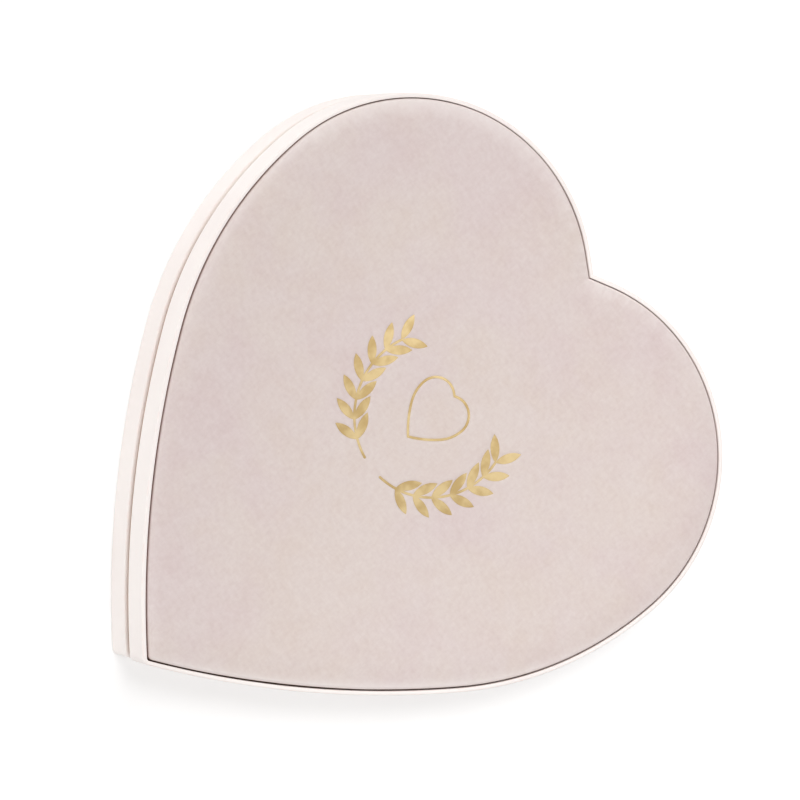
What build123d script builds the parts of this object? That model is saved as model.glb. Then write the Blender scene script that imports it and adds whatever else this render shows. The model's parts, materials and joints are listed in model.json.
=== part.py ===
from build123d import *
import math
import os

os.makedirs("parts", exist_ok=True)

# Heart outline, measured outside the lid's wall
heart_width = 193.0
heart_height = 201.6
notch_depth = 11.5
brow_share = 0.948
tip_angle = 109.2
tip_round = 2.4
least_tip_round = 0.3
side_to_haunch_share = 1.43

# Heights of the closed box, from the underside up
base_height = 14.7
reveal_height = 6.1
lid_height = 14.5

# Board and paper that the box is made of
wall_board = 1.0
collar_board = 1.0
bottom_board = 1.5
top_board = 1.2
wrap_paper = 0.2
collar_paper = 0.2
lining_paper = 0.2
sheet_paper = 0.2
sheet_margin = 1.5
collar_slip = 0.35

# Padded panel set into the lid
seam_gap = 0.5
panel_board = 1.0
panel_foam = 2.0
panel_cover = 0.5
panel_rise = 0.4
panel_roll = 1.2
crown_run = 9.0
crown_rise = 0.8

# Gold stamp pressed into the panel
stamp_depth = 0.14
foil_thickness = 0.06
stamp_line = 0.8
stamp_heart_width = 21.0
sprig_radius = 26.0
sprig_start_angle = 9.0
sprig_sweep_angle = 96.0
leaf_pairs = 7
leaf_length = 9.0
leaf_width = 3.0
leaf_splay_angle = 38.0
stamp_y = 20.0

# Cushion that keeps the sweets in place
pad_thickness = 3.6
pad_gap = 1.2
pad_roll = 1.0
pad_crown_run = 7.0
pad_crown_rise = 0.9

# Paper cups and chocolates
row_counts = (4, 5, 4, 3, 2, 1)
column_pitch_share = 0.169
row_pitch_share = 0.1442
first_row_share = 0.132
cup_spacing = 1.6
cup_flare = 2.8
cup_height = 13.0
cup_paper = 0.3
candy_clearance = 0.4
candy_height = 17.0
candy_bevel = 2.2
candy_corner = 3.0
candy_dome_share = 0.7
candy_square_share = 0.78
candy_oval_share = 0.74

standing = (Align.CENTER, Align.CENTER, Align.MIN)

# Sizes that follow from the outline
half_width = heart_width / 2
lobe_radius = half_width + notch_depth - math.sqrt(2 * half_width * notch_depth)
lobe_offset = half_width - lobe_radius
lobe_y = heart_height / 2 - lobe_radius
brow_turn = brow_share * math.acos(-lobe_offset / lobe_radius)
tip_turn = math.radians(tip_angle / 2)
tip_loss = tip_round * (1 / math.sin(tip_turn) - 1)
tip_drop = heart_height + tip_loss - lobe_radius
heart_reach = max(heart_height / 2, math.hypot(lobe_offset, lobe_y) + lobe_radius)


def side_arcs():
    """Radii, centres and turn of the two tangent arcs from the widest point down to the tip."""
    chord = Vector(-half_width, -tip_drop)
    down = Vector(0, -1)
    inward = Vector(-math.sin(tip_turn), -math.cos(tip_turn))
    along = chord.dot(down + inward * side_to_haunch_share)
    spread = 2 * side_to_haunch_share * (1 - down.dot(inward))
    haunch_reach = (math.sqrt(along**2 + spread * chord.dot(chord)) - along) / spread
    side_reach = haunch_reach * side_to_haunch_share
    link = chord - inward * side_reach - down * haunch_reach
    haunch_turn = math.atan2(-link.X, -link.Y)
    haunch_radius = haunch_reach / math.tan(haunch_turn / 2)
    side_radius = side_reach / math.tan((tip_turn - haunch_turn) / 2)
    haunch_centre = Vector(half_width - haunch_radius, lobe_y)
    back = Vector(math.cos(haunch_turn), -math.sin(haunch_turn))
    side_centre = haunch_centre - back * (side_radius - haunch_radius)
    return haunch_radius, haunch_centre, side_radius, side_centre, math.degrees(haunch_turn)


haunch_radius, haunch_centre, side_radius, side_centre, haunch_turn = side_arcs()

# Places for sweets, and the cups that fit between them
column_pitch = heart_width * column_pitch_share
row_pitch = heart_height * row_pitch_share
nearest_place = min(column_pitch, math.hypot(column_pitch / 2, row_pitch))
cup_top_radius = (nearest_place - cup_spacing) / 2
cup_bottom_radius = cup_top_radius - cup_flare
candy_width = 2 * (cup_bottom_radius - cup_paper - candy_clearance)

# Walls, counted inwards from the outside of the lid
lid_wall = wrap_paper + wall_board + wrap_paper
base_wall = wrap_paper + wall_board
collar_wall = collar_paper + collar_board + collar_paper
collar_inset = lid_wall + collar_slip
base_inset = collar_inset - base_wall
inside_inset = collar_inset + collar_wall
panel_inset = lid_wall + seam_gap

# Levels, counted up from the surface that the box lies on
floor_z = sheet_paper + bottom_board
lid_z = base_height + reveal_height
rim_z = lid_z + lid_height
panel_z = rim_z + panel_rise - panel_board - panel_foam - panel_cover
ceiling_z = panel_z - top_board - lining_paper
panel_top_z = rim_z + panel_rise + crown_rise


def heart(inset):
    """Face of the heart: round lobes with straight brows down to the notch, moved inwards in parallel."""
    lobe = lobe_radius - inset
    haunch = haunch_radius - inset
    side = side_radius - inset
    tip = max(tip_round - inset, least_tip_round)
    brow_at = math.degrees(brow_turn)
    brow_x = lobe_offset + lobe * math.cos(brow_turn)
    brow_y = lobe_y + lobe * math.sin(brow_turn)
    notch_y = brow_y + brow_x / math.tan(brow_turn)
    tip_at = math.degrees(math.acos(-side_centre.X / (side - tip)))
    tip_y = side_centre.Y - math.sqrt((side - tip) ** 2 - side_centre.X**2)
    side_turn = tip_at - haunch_turn
    arcs = [
        CenterArc((lobe_offset, lobe_y), lobe, 0, brow_at),
        Line((brow_x, brow_y), (0, notch_y)),
        Line((0, notch_y), (-brow_x, brow_y)),
        CenterArc((-lobe_offset, lobe_y), lobe, 180 - brow_at, brow_at),
        CenterArc((-haunch_centre.X, lobe_y), haunch, 180, haunch_turn),
        CenterArc((-side_centre.X, side_centre.Y), side, 180 + haunch_turn, side_turn),
        CenterArc((0, tip_y), tip, 180 + tip_at, 180 - 2 * tip_at),
        CenterArc((side_centre.X, side_centre.Y), side, -tip_at, side_turn),
        CenterArc((haunch_centre.X, lobe_y), haunch, -haunch_turn, haunch_turn),
    ]
    return make_face(arcs)


def slab(inset, low_z, high_z):
    """Flat heart-shaped sheet between two levels."""
    return extrude(Pos(0, 0, low_z) * heart(inset), high_z - low_z)


def wall(outer_inset, inner_inset, low_z, high_z):
    """Upright heart-shaped ring."""
    return slab(outer_inset, low_z, high_z) - slab(inner_inset, low_z, high_z)


def pillow(inset, seat_z, thickness, roll, run, rise, up=1):
    """Cushion with drawn-in sides, a rolled edge and a low crown, growing up or down from its seat."""
    slant = math.sqrt(2) / 2
    profile = [
        (0, 0),
        (0, thickness - roll),
        (roll * (1 - slant), thickness - roll * (1 - slant)),
        (roll, thickness),
        (run, thickness + rise),
    ]
    sections = [Pos(0, 0, seat_z + up * level) * heart(inset + inwards) for inwards, level in profile]
    layers = [loft([low, high], ruled=True) for low, high in zip(sections, sections[1:])]
    return Part() + layers


def save(name, shape):
    """Write one piece, as one solid or as a group of separate solids."""
    export_step(shape, f"parts/{name}.step")


def base_tray():
    """Wall, bottom and papers of the lower half."""
    board_inset = base_inset + wrap_paper
    board = wall(board_inset, collar_inset, sheet_paper + wrap_paper, base_height - wrap_paper)
    wrap = wall(base_inset, collar_inset, sheet_paper, base_height) - board
    save("base_wall_board", board)
    save("base_wall_wrap", wrap)
    save("base_bottom_board", slab(collar_inset, sheet_paper, floor_z))
    save("base_bottom_sheet", slab(base_inset + sheet_margin, 0, sheet_paper))
    save("base_floor_lining", slab(inside_inset, floor_z, floor_z + lining_paper))


def collar():
    """Neck glued inside the base, which the lid slides over and rests on."""
    board = wall(
        collar_inset + collar_paper,
        inside_inset - collar_paper,
        floor_z,
        ceiling_z - collar_paper,
    )
    save("collar_board", board)
    save("collar_wrap", wall(collar_inset, inside_inset, floor_z, ceiling_z) - board)


def lid_shell():
    """Wall, top board and papers of the upper half."""
    top = slab(wrap_paper + wall_board, panel_z - top_board, panel_z)
    board = wall(wrap_paper, wrap_paper + wall_board, lid_z + wrap_paper, rim_z - wrap_paper)
    save("lid_wall_board", board)
    save("lid_wall_wrap", wall(0, lid_wall, lid_z, rim_z) - board - top)
    save("lid_top_board", top)
    save("lid_ceiling_lining", slab(lid_wall, ceiling_z, ceiling_z + lining_paper))


def leaf():
    """Pointed leaf along X, from its stalk."""
    upper = ThreePointArc((0, 0), (leaf_length / 2, leaf_width / 2), (leaf_length, 0))
    lower = ThreePointArc((leaf_length, 0), (leaf_length / 2, -leaf_width / 2), (0, 0))
    return make_face([upper, lower])


def stamp_faces():
    """Small outlined heart between two leafy sprigs, flat on the XY plane."""
    shrink = stamp_heart_width / heart_width
    ring = scale(heart(0) - heart(stamp_line / shrink), shrink)
    stem_start = sprig_start_angle - 90
    sprig = SlotArc(CenterArc((0, 0), sprig_radius, stem_start, sprig_sweep_angle), stamp_line)
    for pair in range(leaf_pairs):
        along = stem_start + sprig_sweep_angle * (pair + 1) / leaf_pairs
        for splay in (-leaf_splay_angle, leaf_splay_angle):
            sprig += Rot(0, 0, along) * Pos(sprig_radius, 0) * Rot(0, 0, 90 + splay) * leaf()
    return [Pos(0, stamp_y) * face for face in (ring, sprig, mirror(sprig, Plane.YZ))]


def lid_panel():
    """Padded panel: board, foam and cover, with the foil lying in the pressed-in stamp."""
    inner_inset = panel_inset + panel_cover
    foam_z = panel_z + panel_board
    thickness = panel_board + panel_foam + panel_cover
    outer = pillow(panel_inset, panel_z, thickness, panel_roll, crown_run, crown_rise)
    board = slab(inner_inset, panel_z, foam_z)
    foam = pillow(
        inner_inset,
        foam_z,
        panel_foam,
        panel_roll - panel_cover,
        crown_run - panel_cover,
        crown_rise,
    )
    faces = stamp_faces()
    bed_z = panel_top_z - stamp_depth
    pressed = [extrude(Pos(0, 0, bed_z) * face, 2 * stamp_depth) for face in faces]
    foil = [extrude(Pos(0, 0, bed_z) * face, foil_thickness) for face in faces]
    save("lid_panel_board", board)
    save("lid_panel_foam", foam)
    save("lid_panel_cover", outer - board - foam - pressed)
    save("gold_stamp", Compound(foil))


def candy_pad():
    """Soft cushion glued under the lid's ceiling."""
    inset = inside_inset + pad_gap
    save("candy_pad", pillow(inset, ceiling_z, pad_thickness, pad_roll, pad_crown_run, pad_crown_rise, up=-1))


def candy_places():
    """Rows of places, every other row shifted by half a place."""
    places = []
    for row, count in enumerate(row_counts):
        y = heart_height * (1 / 2 - first_row_share) - row * row_pitch
        places += [(row, (column - (count - 1) / 2) * column_pitch, y) for column in range(count)]
    return places


def cup():
    """Open paper cup, standing on its own bottom."""
    outer = Cone(cup_bottom_radius, cup_top_radius, cup_height, align=standing)
    hollow = Cone(cup_bottom_radius - cup_paper, cup_top_radius - cup_paper, cup_height, align=standing)
    return outer - Pos(0, 0, cup_paper) * hollow


def candy_dome():
    """Round chocolate with a domed top."""
    radius = candy_width / 2
    cap_height = radius * candy_dome_share
    side_height = candy_height - cap_height
    ball_radius = (radius**2 + cap_height**2) / (2 * cap_height)
    ball = Pos(0, 0, candy_height - ball_radius) * Sphere(ball_radius)
    return Cylinder(radius, side_height, align=standing) + (
        ball & Pos(0, 0, side_height) * Cylinder(radius, cap_height, align=standing)
    )


def candy_square():
    """Square chocolate with rounded corners and a bevelled top."""
    side = candy_width * candy_square_share
    block = extrude(RectangleRounded(side, side, candy_corner), candy_height)
    return chamfer(block.faces().sort_by(Axis.Z)[-1].edges(), candy_bevel)


def candy_oval():
    """Oval chocolate with a bevelled top."""
    block = extrude(Ellipse(candy_width / 2, candy_width / 2 * candy_oval_share), candy_height)
    return chamfer(block.faces().sort_by(Axis.Z)[-1].edges(), candy_bevel)


def candy_heart():
    """Heart-shaped chocolate with a bevelled top."""
    low = scale(heart(0), candy_width / 2 / heart_reach)
    high = scale(heart(0), (candy_width / 2 - candy_bevel) / heart_reach)
    shoulder_z = candy_height - candy_bevel
    bevel = loft([Pos(0, 0, shoulder_z) * low, Pos(0, 0, candy_height) * high], ruled=True)
    return extrude(low, shoulder_z) + bevel


def sweets():
    """One paper cup and one chocolate in every place."""
    seat_z = floor_z + lining_paper
    by_row = [("dome", candy_dome), ("square", candy_square), ("oval", candy_oval)]
    for number, (row, x, y) in enumerate(candy_places(), start=1):
        kind, make = by_row[row % len(by_row)]
        if x == 0:
            kind, make = "heart", candy_heart
        save(f"cup_{number}", Pos(x, y, seat_z) * cup())
        save(f"chocolate_{number}_{kind}", Pos(x, y, seat_z + cup_paper) * make())


base_tray()
collar()
lid_shell()
lid_panel()
candy_pad()
sweets()
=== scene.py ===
import json
import math

import bmesh
import bpy
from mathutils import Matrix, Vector, geometry, noise
from mathutils.bvhtree import BVHTree


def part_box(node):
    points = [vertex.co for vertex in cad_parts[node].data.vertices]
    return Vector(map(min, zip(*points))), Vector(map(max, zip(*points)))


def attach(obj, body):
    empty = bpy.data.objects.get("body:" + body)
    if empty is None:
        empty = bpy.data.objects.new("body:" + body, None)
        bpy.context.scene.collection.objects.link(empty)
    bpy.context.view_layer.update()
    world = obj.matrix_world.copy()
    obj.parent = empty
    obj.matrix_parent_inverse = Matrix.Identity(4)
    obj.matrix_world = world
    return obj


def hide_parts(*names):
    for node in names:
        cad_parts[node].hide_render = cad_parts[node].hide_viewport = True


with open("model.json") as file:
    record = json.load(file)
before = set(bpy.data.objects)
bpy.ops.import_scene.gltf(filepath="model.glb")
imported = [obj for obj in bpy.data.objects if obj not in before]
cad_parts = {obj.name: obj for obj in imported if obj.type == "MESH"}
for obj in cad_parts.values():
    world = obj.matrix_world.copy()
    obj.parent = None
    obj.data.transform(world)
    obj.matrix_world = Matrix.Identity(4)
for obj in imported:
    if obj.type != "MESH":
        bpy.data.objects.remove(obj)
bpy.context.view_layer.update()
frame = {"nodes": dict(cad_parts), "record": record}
cadNodes = frame["nodes"]
scene = bpy.context.scene
mm = 0.001


# Small helpers for numbers and node trees

def clamped(value):
    return min(max(value, 0.0), 1.0)


def pointing(angle):
    return Vector((math.cos(angle), math.sin(angle)))


def screenColour(red, green, blue):
    parts = [part / 255 for part in (red, green, blue)]
    linear = [p / 12.92 if p <= 0.04045 else ((p + 0.055) / 1.055) ** 2.4 for p in parts]
    return (*linear, 1.0)


def wire(tree, node, inputs):
    # an input takes a plain value or another node's output
    for name, value in inputs.items():
        if isinstance(value, bpy.types.NodeSocket):
            tree.links.new(value, node.inputs[name])
        else:
            node.inputs[name].default_value = value


def put(tree, kind, inputs=None, **settings):
    # gives the new node's outputs; nodes stand in rows of eight, in the order they are made
    row, column = divmod(len(tree.nodes), 8)
    node = tree.nodes.new(kind)
    node.location = (column * 220, row * -320)
    for name, value in settings.items():
        setattr(node, name, value)
    wire(tree, node, inputs or {})
    return node.outputs


def mixColours(tree, factor, first, second, blend="MIX"):
    # a colour is another node's output, or red, green and blue as a screen shows them
    ends = [end if isinstance(end, bpy.types.NodeSocket) else screenColour(*end) for end in (first, second)]
    inputs = {0: factor, 6: ends[0], 7: ends[1]}  # sockets of the colour mix
    return put(tree, "ShaderNodeMix", inputs, data_type="RGBA", blend_type=blend)[2]


def sumUp(tree, operation, *terms):
    return put(tree, "ShaderNodeMath", dict(enumerate(terms)), operation=operation)[0]


def times(tree, first, second):
    return sumUp(tree, "MULTIPLY", first, second)


def vectorSum(tree, operation, *terms):
    return put(tree, "ShaderNodeVectorMath", dict(enumerate(terms)), operation=operation)["Vector"]


def combine(tree, x=0.0, y=0.0, z=0.0):
    return put(tree, "ShaderNodeCombineXYZ", {"X": x, "Y": y, "Z": z})["Vector"]


def spread(tree, value, low, high, ends=(0.0, 1.0), way="LINEAR"):
    inputs = {"Value": value, "From Min": low, "From Max": high, "To Min": ends[0], "To Max": ends[1]}
    return put(tree, "ShaderNodeMapRange", inputs, interpolation_type=way)["Result"]


def cloud(tree, vector, values, seed=None):
    # noise, with a fourth coordinate where it has a seed
    inputs = {"Vector": vector, **values}
    if seed is None:
        return put(tree, "ShaderNodeTexNoise", inputs)["Fac"]
    return put(tree, "ShaderNodeTexNoise", {**inputs, "W": seed}, noise_dimensions="4D")["Fac"]


def painted(tree, name):
    return put(tree, "ShaderNodeAttribute", attribute_name=name)["Fac"]


def newGroup(name, kind, inputs, outputs):
    # an input is given as its default number, or as the word for its kind of socket
    group = bpy.data.node_groups.new(name, kind)
    for label, given in inputs.items():
        isNumber = isinstance(given, float)
        word = "Float" if isNumber else given
        socket = group.interface.new_socket(label, in_out="INPUT", socket_type="NodeSocket" + word)
        if isNumber:
            socket.default_value = given
    for label, word in outputs.items():
        group.interface.new_socket(label, in_out="OUTPUT", socket_type="NodeSocket" + word)
    return group, put(group, "NodeGroupInput"), group.nodes.new("NodeGroupOutput")


# Shader groups that several finishes share

def makeSoftPatches():
    inputs = {"Scale": 30.0, "Detail": 3.0, "Roughness": 0.55, "Seed": 0.0, "Low": 0.38, "High": 0.62}
    group, given, result = newGroup("softPatches", "ShaderNodeTree", inputs, {"Tone": "Float"})
    values = {name: given[name] for name in ("Scale", "Detail", "Roughness")}
    patches = cloud(group, put(group, "ShaderNodeTexCoord")["Object"], values, given["Seed"])
    wire(group, result, {"Tone": spread(group, patches, given["Low"], given["High"], way="SMOOTHSTEP")})
    return group


def makeFibreGrain():
    # two crossing layers of drawn-out noise, like short fibres lying in a sheet
    inputs = {"Scale": 900.0, "Stretch": 0.25, "Seed": 0.0, "Low": 0.65, "High": 1.35}
    outputs = {"Tone": "Float", "Height": "Float"}
    group, given, result = newGroup("fibreGrain", "ShaderNodeTree", inputs, outputs)
    coords = put(group, "ShaderNodeTexCoord")["Object"]
    values = {"Scale": given["Scale"], "Detail": 2.0, "Roughness": 0.6, "Distortion": 0.3}
    layers = []
    for lengths in ((given["Stretch"], 1.0, 1.0), (1.0, given["Stretch"], 1.0)):
        drawn = vectorSum(group, "MULTIPLY", coords, combine(group, *lengths))
        layers.append(cloud(group, drawn, values, given["Seed"]))
    both = sumUp(group, "ADD", *layers)
    wire(group, result, {"Tone": spread(group, both, given["Low"], given["High"]), "Height": both})
    return group


def makeEdgeRub():
    # broken-up wear on the vertices that carry the edge attribute; on the wrap's rims it is partly painted
    # shade
    inputs = {"Amount": 0.5, "Scale": 420.0, "Detail": 3.0, "Low": 0.42, "High": 0.66}
    group, given, result = newGroup("edgeRub", "ShaderNodeTree", inputs, {"Mask": "Float"})
    values = {name: given[name] for name in ("Scale", "Detail")}
    specks = cloud(group, put(group, "ShaderNodeTexCoord")["Object"], values)
    broken = spread(group, specks, given["Low"], given["High"], way="SMOOTHSTEP")
    wearAndPaintedLight = times(group, broken, painted(group, "edge"))
    wire(group, result, {"Mask": times(group, wearAndPaintedLight, given["Amount"])})
    return group


softPatches = makeSoftPatches()
fibreGrain = makeFibreGrain()
edgeRub = makeEdgeRub()


def useGroup(tree, group, inputs):
    return put(tree, "ShaderNodeGroup", inputs, node_tree=group)


def newMaterial(name, constants):
    material = bpy.data.materials.new(name)
    material.use_nodes = True
    shader = material.node_tree.nodes["Principled BSDF"]
    wire(material.node_tree, shader, constants)
    return material, material.node_tree, shader


def addBump(tree, shader, height, depth, strength):
    bump = put(tree, "ShaderNodeBump", {"Strength": strength, "Distance": depth, "Height": height})
    wire(tree, shader, {"Normal": bump["Normal"]})


# Finishes

suedeLook = {
    "pink": (222, 206, 204),
    "cream": (224, 210, 203),
    "pale": (229, 219, 216),
    "shade": (219, 203, 200),
    "paintedSeamShade": (150, 92, 74),  # painted shade inside the seam: the cloth's turned-in side is dark brown
    "wearAndPaintedLight": (246, 238, 235),  # painted light: paler cloth along the padded edge
    "paintedLightShow": 0.5,
    "wide": {"Scale": 24.0, "Seed": 3.1, "Detail": 4.0},
    "warm": {"Scale": 55.2, "Seed": 7.4},
    "warmShow": 0.25,
    "nap": {"Scale": 130.0, "Seed": 1.7, "Detail": 6.0},
    "napShow": 0.22,
    "napRelief": 0.5,
    "fibre": {"Scale": 900.0, "Stretch": 0.5, "Seed": 2.0},
    "fibreShow": 0.26,
    "relief": 0.10 * mm,
    "reliefShow": 0.6,
    "rough": (0.82, 0.95),
    "cloth": {"Specular IOR Level": 0.15, "Sheen Weight": 0.4, "Sheen Roughness": 0.45},
    "sheenTint": (255, 246, 242),
}


def makeSuede(look):
    constants = {**look["cloth"], "Sheen Tint": screenColour(*look["sheenTint"])}
    material, tree, shader = newMaterial("blushSuede", constants)
    wide, warm, nap = (useGroup(tree, softPatches, look[part])["Tone"] for part in ("wide", "warm", "nap"))
    fibre = useGroup(tree, fibreGrain, look["fibre"])
    ground = mixColours(tree, wide, look["pink"], look["cream"])
    ground = mixColours(tree, times(tree, warm, look["warmShow"]), ground, look["pale"])
    ground = mixColours(tree, times(tree, nap, look["napShow"]), ground, look["pale"])
    specks = times(tree, fibre["Tone"], look["fibreShow"])
    ground = mixColours(tree, specks, ground, look["shade"], "MULTIPLY")
    # painted light: paler margins along the padded edge, most at top and bottom
    ground = mixColours(tree, times(tree, painted(tree, "rubAndPaintedLight"), look["paintedLightShow"]), ground, look["wearAndPaintedLight"])
    # painted shade: the cloth below the roll darkens down the seam
    ground = mixColours(tree, painted(tree, "edge"), ground, look["paintedSeamShade"])
    rough = spread(tree, fibre["Tone"], 0.0, 1.0, look["rough"])
    wire(tree, shader, {"Base Color": ground, "Roughness": rough})
    relief = sumUp(tree, "MULTIPLY_ADD", nap, look["napRelief"], fibre["Height"])
    addBump(tree, shader, relief, look["relief"], look["reliefShow"])
    return material


# what papers, foil and chocolates have in common, unless a look has its own
commonLook = {
    "shine": {},
    "patchDetail": 3.0,
    "stretch": 0.2,
    "fibreShow": 0.0,
    "rubAndPaintedLight": 0.0,
    "roughBy": "grain",
    "bump": 0.03 * mm,
    "bumpShow": 0.5,
}
chocolateLook = {
    "patchScale": 140.0, "patchDetail": 4.0, "grainScale": 700.0, "stretch": 0.8, "gloss": 0.45,
    "shine": {"Coat Weight": 0.12, "Coat Roughness": 0.25}, "roughBy": "patches",
    "bump": 0.05 * mm, "bumpShow": 0.35,
}
looks = {
    "wrap": {
        # the wrap's pinker rim tone: part wear, part painted shade on the rims
        "name": "blushWrapPaper", "tone": (251, 244, 240), "shade": (248, 240, 236), "wornAndShaded": (250, 231, 226),
        "patchScale": 22.0, "seed": 4.0, "grainScale": 1300.0, "fibreShow": 0.06,
        "rubAndPaintedLight": 0.5, "gloss": 0.35, "rough": (0.42, 0.58), "bump": 0.02 * mm,
    },
    "collar_paper": {
        # a darker blush than the wrap paper: painted shade in the reveal between lid and base
        "name": "collarPaper", "tone": (206, 184, 170), "shade": (197, 174, 159), "wornAndShaded": (226, 209, 198),
        "patchScale": 26.0, "seed": 9.0, "grainScale": 1500.0, "fibreShow": 0.10,
        "rubAndPaintedLight": 0.6, "gloss": 0.3, "rough": (0.5, 0.66), "bump": 0.02 * mm,
    },
    "lining": {
        "name": "liningPaper", "tone": (244, 236, 226), "shade": (240, 231, 220), "patchScale": 34.0,
        "seed": 12.0, "grainScale": 1100.0, "fibreShow": 0.16, "gloss": 0.2, "rough": (0.6, 0.78),
    },
    "sheet_paper": {
        "name": "bottomSheetPaper", "tone": (240, 228, 220), "shade": (236, 223, 214), "patchScale": 30.0,
        "seed": 15.0, "grainScale": 1000.0, "fibreShow": 0.2, "gloss": 0.25, "rough": (0.55, 0.7),
    },
    "greyboard": {
        "name": "greyboard", "tone": (146, 122, 104), "shade": (120, 97, 80), "patchScale": 90.0,
        "seed": 18.0, "grainScale": 800.0, "fibreShow": 0.55, "gloss": 0.1, "rough": (0.8, 0.95),
        "bump": 0.06 * mm,
    },
    "pad": {
        "name": "cushionPaper", "tone": (245, 238, 227), "shade": (241, 233, 221), "patchScale": 40.0,
        "seed": 21.0, "grainScale": 1200.0, "fibreShow": 0.14, "gloss": 0.45, "rough": (0.34, 0.5),
    },
    "cup_paper": {
        "name": "brownCupPaper", "tone": (84, 52, 36), "shade": (66, 39, 27), "wornAndShaded": (118, 82, 60),
        "patchScale": 120.0, "seed": 24.0, "grainScale": 1400.0, "fibreShow": 0.4,
        "rubAndPaintedLight": 0.9, "gloss": 0.3, "rough": (0.5, 0.68),
    },
    "foil": {
        "name": "goldFoil", "tone": (180, 160, 120), "shade": (158, 135, 93), "shine": {"Metallic": 1.0},
        "patchScale": 160.0, "patchDetail": 5.0, "patchSeed": 5.5, "seed": 6.0, "grainScale": 2100.0,
        "stretch": 0.6, "gloss": 0.5, "rough": (0.3, 0.46), "bumpShow": 0.4,
    },
    "dark_chocolate": {
        **chocolateLook, "name": "darkChocolate", "tone": (62, 34, 24), "shade": (46, 24, 17),
        "seed": 31.0, "rough": (0.3, 0.44),
    },
    "milk_chocolate": {
        **chocolateLook, "name": "milkChocolate", "tone": (118, 70, 43), "shade": (98, 56, 34),
        "seed": 37.0, "rough": (0.32, 0.48),
    },
}


def makeSurface(look):
    # patches of two tones under a fine grain, fibre specks and edge wear where a look has them; on the wrap,
    # partly painted shade
    constants = {"Specular IOR Level": look["gloss"], **look["shine"]}
    material, tree, shader = newMaterial(look["name"], constants)
    patchValues = {"Scale": look["patchScale"], "Detail": look["patchDetail"]}
    patchValues["Seed"] = look.get("patchSeed", look["seed"])
    patches = useGroup(tree, softPatches, patchValues)
    grainValues = {"Scale": look["grainScale"], "Stretch": look["stretch"], "Seed": look["seed"]}
    grain = useGroup(tree, fibreGrain, grainValues)
    ground = mixColours(tree, patches["Tone"], look["shade"], look["tone"])
    if look["fibreShow"]:
        specks = times(tree, grain["Tone"], look["fibreShow"])
        ground = mixColours(tree, specks, ground, look["shade"], "MULTIPLY")
    if look["rubAndPaintedLight"]:
        # edge wear; on the wrap it is partly painted shade
        rubAndPaintedLight = useGroup(tree, edgeRub, {"Amount": look["rubAndPaintedLight"]})
        ground = mixColours(tree, rubAndPaintedLight["Mask"], ground, look["wornAndShaded"])
    uneven = grain if look["roughBy"] == "grain" else patches
    rough = spread(tree, uneven["Tone"], 0.0, 1.0, look["rough"])
    wire(tree, shader, {"Base Color": ground, "Roughness": rough})
    addBump(tree, shader, grain["Height"], look["bump"], look["bumpShow"])
    return material


foamLook = {"tone": (240, 232, 208), "pit": (206, 194, 164), "cellScale": 1400.0, "bump": 0.2 * mm}


def makeFoam(look):
    material, tree, shader = newMaterial("openCellFoam", {"Specular IOR Level": 0.1, "Roughness": 0.95})
    inputs = {"Vector": put(tree, "ShaderNodeTexCoord")["Object"], "Scale": look["cellScale"]}
    cells = put(tree, "ShaderNodeTexVoronoi", inputs)["Distance"]
    wire(tree, shader, {"Base Color": mixColours(tree, cells, look["pit"], look["tone"])})
    addBump(tree, shader, cells, look["bump"], 1.0)
    return material


finishes = {"suede": makeSuede(suedeLook), "foam": makeFoam(foamLook)}
finishes |= {slot: makeSurface({**commonLook, **look}) for slot, look in looks.items()}
slotOf = {part["node"]: part["material_slot"] for part in frame["record"]["subparts"]}
for name, cadNode in cadNodes.items():
    cadNode.data.materials.clear()
    cadNode.data.materials.append(finishes[slotOf[name]])
print("finishes:", len(finishes), "materials")


# Heart outline: lobe, haunch and side arcs, the same on both halves

lidLow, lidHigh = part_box("lid_wall_wrap")
heartForm = {
    "width": lidHigh.x - lidLow.x,
    "height": lidHigh.y - lidLow.y,
    "notchDepth": 11.5 * mm,
    "brow": 0.948,  # part of the way to the notch where a lobe runs out straight
    "tipAngle": math.radians(109.2),
    "tipRound": 2.4 * mm,
    "leastTip": 0.3 * mm,
    "notchRound": 0.3 * mm,
    "sideShare": 1.43,  # tangent length of the side arc against the haunch arc's
    "notchPoints": 4,
    "browPoints": 8,
    "tipPoints": 8,
}


def heartArcs(form):
    half = form["width"] / 2
    lobe = half + form["notchDepth"] - math.sqrt(2 * half * form["notchDepth"])
    lobeAt = Vector((half - lobe, form["height"] / 2 - lobe))
    tipTurn = form["tipAngle"] / 2
    # height before the tip is rounded
    sharp = form["height"] + form["tipRound"] * (1 / math.sin(tipTurn) - 1)
    chord = Vector((-half, lobe - sharp))
    down = Vector((0, -1))
    inward = Vector((-math.sin(tipTurn), -math.cos(tipTurn)))
    along = chord.dot(down + inward * form["sideShare"])
    growth = 2 * form["sideShare"] * (1 - down.dot(inward))
    reach = (math.sqrt(along**2 + growth * chord.dot(chord)) - along) / growth
    sideReach = reach * form["sideShare"]
    link = chord - inward * sideReach - down * reach
    turn = math.atan2(-link.x, -link.y)
    haunch = reach / math.tan(turn / 2)
    side = sideReach / math.tan((tipTurn - turn) / 2)
    haunchAt = Vector((half - haunch, lobeAt.y))
    sideAt = haunchAt - Vector((math.cos(turn), -math.sin(turn))) * (side - haunch)
    brow = form["brow"] * math.acos(-lobeAt.x / lobe)
    lengths = (lobe * brow, haunch * turn, side * (math.acos(-sideAt.x / side) - turn))
    sizes = {"lobe": lobe, "haunch": haunch, "side": side, "turn": turn, "brow": brow, "lengths": lengths}
    return {**sizes, "lobeAt": lobeAt, "haunchAt": haunchAt, "sideAt": sideAt}


arcs = heartArcs(heartForm)


def insetOf(node):
    low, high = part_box(node)
    return (heartForm["width"] - (high.x - low.x)) / 2


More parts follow.
